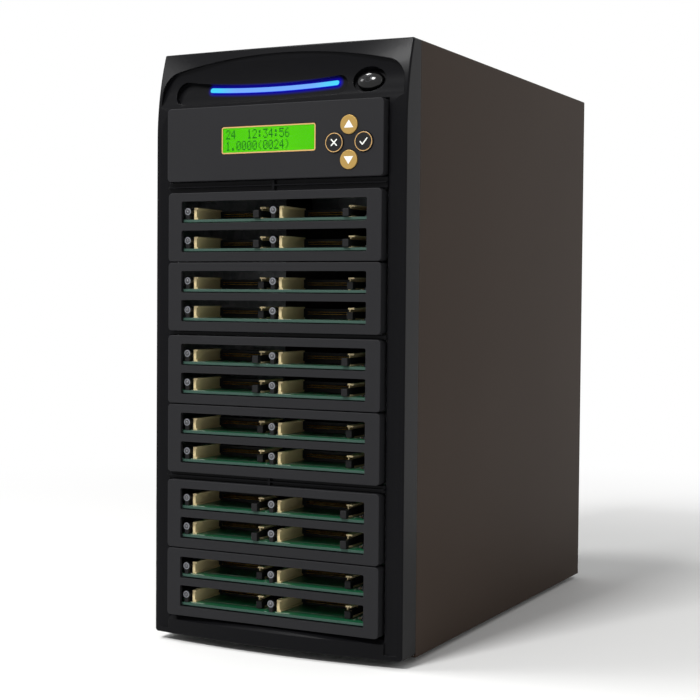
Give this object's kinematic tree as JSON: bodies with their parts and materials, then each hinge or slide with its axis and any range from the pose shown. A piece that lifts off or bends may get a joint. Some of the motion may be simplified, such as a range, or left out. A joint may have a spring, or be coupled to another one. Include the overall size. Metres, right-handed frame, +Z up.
{
  "type": "memory card duplicator",
  "caption": "Upright tower that copies memory cards, with an arched front, a display and keys, paired card slots with push-bar ejectors, and a power supply and fan at the rear.",
  "frame": {"origin": "on the table under the middle of the case's bounding box", "axes": "+X to the right seen from the front, -Y towards the viewer, +Z up"},
  "size_m": [0.1722, 0.3364, 0.3685],
  "materials": {
    "bezel_plastic": "polished moulding, black",
    "panel_plastic": "fine spark-eroded texture, charcoal",
    "light_plastic": "clear light guide, lit blue",
    "window_plastic": "flat clear sheet over a green display",
    "circuit_board": "glass-fibre board with green solder mask",
    "plated_steel": "zinc-plated sheet",
    "case_paint": "powder coat, warm charcoal",
    "header_plastic": "moulded, black",
    "guide_plastic": "moulded, beige",
    "lamp_plastic": "pale holder with a clear dome",
    "foot_rubber": "moulded, black",
    "inlet_plastic": "moulded, black",
    "rocker_plastic": "moulded, black",
    "fan_plastic": "moulded, black",
    "screw_steel": "zinc-plated",
    "gold_key_plastic": "gold lacquer",
    "dark_key_plastic": "black with a gold ring"
  },
  "bodies": {
    "case": {"base_plate": "plated_steel", "bay_cage": "plated_steel", "bay_panel_1": "panel_plastic", "bay_panel_2": "panel_plastic", "bay_panel_3": "panel_plastic", "bay_panel_4": "panel_plastic", "bay_panel_5": "panel_plastic", "bay_panel_6": "panel_plastic", "card_guides": "guide_plastic", "case_screws": "screw_steel", "control_board": "circuit_board", "control_plate": "panel_plastic", "controller_board": "circuit_board", "fan_frame": "fan_plastic", "front_bezel": "bezel_plastic", "indicator_board": "circuit_board", "lcd_window": "window_plastic", "left_side_panel": "case_paint", "light_bar": "light_plastic", "mains_inlet": "inlet_plastic", "power_supply": "plated_steel", "reader_boards": "circuit_board", "rear_panel": "plated_steel", "right_side_panel": "case_paint", "rubber_feet": "foot_rubber", "side_rails": "plated_steel", "socket_headers": "header_plastic", "status_lights": "lamp_plastic", "top_panel": "case_paint"},
    "ejector_1_upper_left_body": {"ejector_1_upper_left": "header_plastic"},
    "ejector_1_upper_right_body": {"ejector_1_upper_right": "header_plastic"},
    "ejector_1_lower_left_body": {"ejector_1_lower_left": "header_plastic"},
    "ejector_1_lower_right_body": {"ejector_1_lower_right": "header_plastic"},
    "ejector_2_upper_left_body": {"ejector_2_upper_left": "header_plastic"},
    "ejector_2_upper_right_body": {"ejector_2_upper_right": "header_plastic"},
    "ejector_2_lower_left_body": {"ejector_2_lower_left": "header_plastic"},
    "ejector_2_lower_right_body": {"ejector_2_lower_right": "header_plastic"},
    "ejector_3_upper_left_body": {"ejector_3_upper_left": "header_plastic"},
    "ejector_3_upper_right_body": {"ejector_3_upper_right": "header_plastic"},
    "ejector_3_lower_left_body": {"ejector_3_lower_left": "header_plastic"},
    "ejector_3_lower_right_body": {"ejector_3_lower_right": "header_plastic"},
    "ejector_4_upper_left_body": {"ejector_4_upper_left": "header_plastic"},
    "ejector_4_upper_right_body": {"ejector_4_upper_right": "header_plastic"},
    "ejector_4_lower_left_body": {"ejector_4_lower_left": "header_plastic"},
    "ejector_4_lower_right_body": {"ejector_4_lower_right": "header_plastic"},
    "ejector_5_upper_left_body": {"ejector_5_upper_left": "header_plastic"},
    "ejector_5_upper_right_body": {"ejector_5_upper_right": "header_plastic"},
    "ejector_5_lower_left_body": {"ejector_5_lower_left": "header_plastic"},
    "ejector_5_lower_right_body": {"ejector_5_lower_right": "header_plastic"},
    "ejector_6_upper_left_body": {"ejector_6_upper_left": "header_plastic"},
    "ejector_6_upper_right_body": {"ejector_6_upper_right": "header_plastic"},
    "ejector_6_lower_left_body": {"ejector_6_lower_left": "header_plastic"},
    "ejector_6_lower_right_body": {"ejector_6_lower_right": "header_plastic"},
    "up_key_body": {"up_key": "gold_key_plastic"},
    "down_key_body": {"down_key": "gold_key_plastic"},
    "cross_key_body": {"cross_key": "dark_key_plastic"},
    "tick_key_body": {"tick_key": "dark_key_plastic"},
    "power_button_body": {"power_button": "bezel_plastic"},
    "mains_rocker_body": {"mains_rocker": "rocker_plastic"},
    "fan_rotor_body": {"fan_rotor": "fan_plastic"}
  },
  "joints": [
    {"name": "ejector_1_upper_left_slide", "type": "slide", "parent": "case", "child": "ejector_1_upper_left_body", "axis": [0, 1, 0], "range_m": [0, 0.0065]},
    {"name": "ejector_1_upper_right_slide", "type": "slide", "parent": "case", "child": "ejector_1_upper_right_body", "axis": [0, 1, 0], "range_m": [0, 0.0065]},
    {"name": "ejector_1_lower_left_slide", "type": "slide", "parent": "case", "child": "ejector_1_lower_left_body", "axis": [0, 1, 0], "range_m": [0, 0.0065]},
    {"name": "ejector_1_lower_right_slide", "type": "slide", "parent": "case", "child": "ejector_1_lower_right_body", "axis": [0, 1, 0], "range_m": [0, 0.0065]},
    {"name": "ejector_2_upper_left_slide", "type": "slide", "parent": "case", "child": "ejector_2_upper_left_body", "axis": [0, 1, 0], "range_m": [-0.0065, 0]},
    {"name": "ejector_2_upper_right_slide", "type": "slide", "parent": "case", "child": "ejector_2_upper_right_body", "axis": [0, 1, 0], "range_m": [-0.0065, 0]},
    {"name": "ejector_2_lower_left_slide", "type": "slide", "parent": "case", "child": "ejector_2_lower_left_body", "axis": [0, 1, 0], "range_m": [-0.0065, 0]},
    {"name": "ejector_2_lower_right_slide", "type": "slide", "parent": "case", "child": "ejector_2_lower_right_body", "axis": [0, 1, 0], "range_m": [-0.0065, 0]},
    {"name": "ejector_3_upper_left_slide", "type": "slide", "parent": "case", "child": "ejector_3_upper_left_body", "axis": [0, 1, 0], "range_m": [0, 0.0065]},
    {"name": "ejector_3_upper_right_slide", "type": "slide", "parent": "case", "child": "ejector_3_upper_right_body", "axis": [0, 1, 0], "range_m": [0, 0.0065]},
    {"name": "ejector_3_lower_left_slide", "type": "slide", "parent": "case", "child": "ejector_3_lower_left_body", "axis": [0, 1, 0], "range_m": [0, 0.0065]},
    {"name": "ejector_3_lower_right_slide", "type": "slide", "parent": "case", "child": "ejector_3_lower_right_body", "axis": [0, 1, 0], "range_m": [0, 0.0065]},
    {"name": "ejector_4_upper_left_slide", "type": "slide", "parent": "case", "child": "ejector_4_upper_left_body", "axis": [0, 1, 0], "range_m": [-0.0065, 0]},
    {"name": "ejector_4_upper_right_slide", "type": "slide", "parent": "case", "child": "ejector_4_upper_right_body", "axis": [0, 1, 0], "range_m": [-0.0065, 0]},
    {"name": "ejector_4_lower_left_slide", "type": "slide", "parent": "case", "child": "ejector_4_lower_left_body", "axis": [0, 1, 0], "range_m": [-0.0065, 0]},
    {"name": "ejector_4_lower_right_slide", "type": "slide", "parent": "case", "child": "ejector_4_lower_right_body", "axis": [0, 1, 0], "range_m": [-0.0065, 0]},
    {"name": "ejector_5_upper_left_slide", "type": "slide", "parent": "case", "child": "ejector_5_upper_left_body", "axis": [0, 1, 0], "range_m": [0, 0.0065]},
    {"name": "ejector_5_upper_right_slide", "type": "slide", "parent": "case", "child": "ejector_5_upper_right_body", "axis": [0, 1, 0], "range_m": [0, 0.0065]},
    {"name": "ejector_5_lower_left_slide", "type": "slide", "parent": "case", "child": "ejector_5_lower_left_body", "axis": [0, 1, 0], "range_m": [0, 0.0065]},
    {"name": "ejector_5_lower_right_slide", "type": "slide", "parent": "case", "child": "ejector_5_lower_right_body", "axis": [0, 1, 0], "range_m": [0, 0.0065]},
    {"name": "ejector_6_upper_left_slide", "type": "slide", "parent": "case", "child": "ejector_6_upper_left_body", "axis": [0, 1, 0], "range_m": [-0.0065, 0]},
    {"name": "ejector_6_upper_right_slide", "type": "slide", "parent": "case", "child": "ejector_6_upper_right_body", "axis": [0, 1, 0], "range_m": [-0.0065, 0]},
    {"name": "ejector_6_lower_left_slide", "type": "slide", "parent": "case", "child": "ejector_6_lower_left_body", "axis": [0, 1, 0], "range_m": [-0.0065, 0]},
    {"name": "ejector_6_lower_right_slide", "type": "slide", "parent": "case", "child": "ejector_6_lower_right_body", "axis": [0, 1, 0], "range_m": [-0.0065, 0]},
    {"name": "up_key_press", "type": "slide", "parent": "case", "child": "up_key_body", "axis": [0, 1, 0], "range_m": [0, 0.0006], "stiffness_N_per_m": 500, "springref_m": -0.0004},
    {"name": "down_key_press", "type": "slide", "parent": "case", "child": "down_key_body", "axis": [0, 1, 0], "range_m": [0, 0.0006], "stiffness_N_per_m": 500, "springref_m": -0.0004},
    {"name": "cross_key_press", "type": "slide", "parent": "case", "child": "cross_key_body", "axis": [0, 1, 0], "range_m": [0, 0.0006], "stiffness_N_per_m": 500, "springref_m": -0.0004},
    {"name": "tick_key_press", "type": "slide", "parent": "case", "child": "tick_key_body", "axis": [0, 1, 0], "range_m": [0, 0.0006], "stiffness_N_per_m": 500, "springref_m": -0.0004},
    {"name": "power_button_press", "type": "slide", "parent": "case", "child": "power_button_body", "axis": [0, 0.9397, -0.342], "range_m": [0, 0.0015], "stiffness_N_per_m": 400, "springref_m": -0.0006},
    {"name": "mains_rocker_tilt", "type": "hinge", "parent": "case", "child": "mains_rocker_body", "pos_m": [-0.05, 0.16345, 0.33225], "axis": [1, 0, 0], "range_deg": [-14, 0]},
    {"name": "fan_rotor_spin", "type": "hinge", "parent": "case", "child": "fan_rotor_body", "pos_m": [0, 0.15165, 0.2185], "axis": [0, 1, 0], "continuous": true}
  ]
}
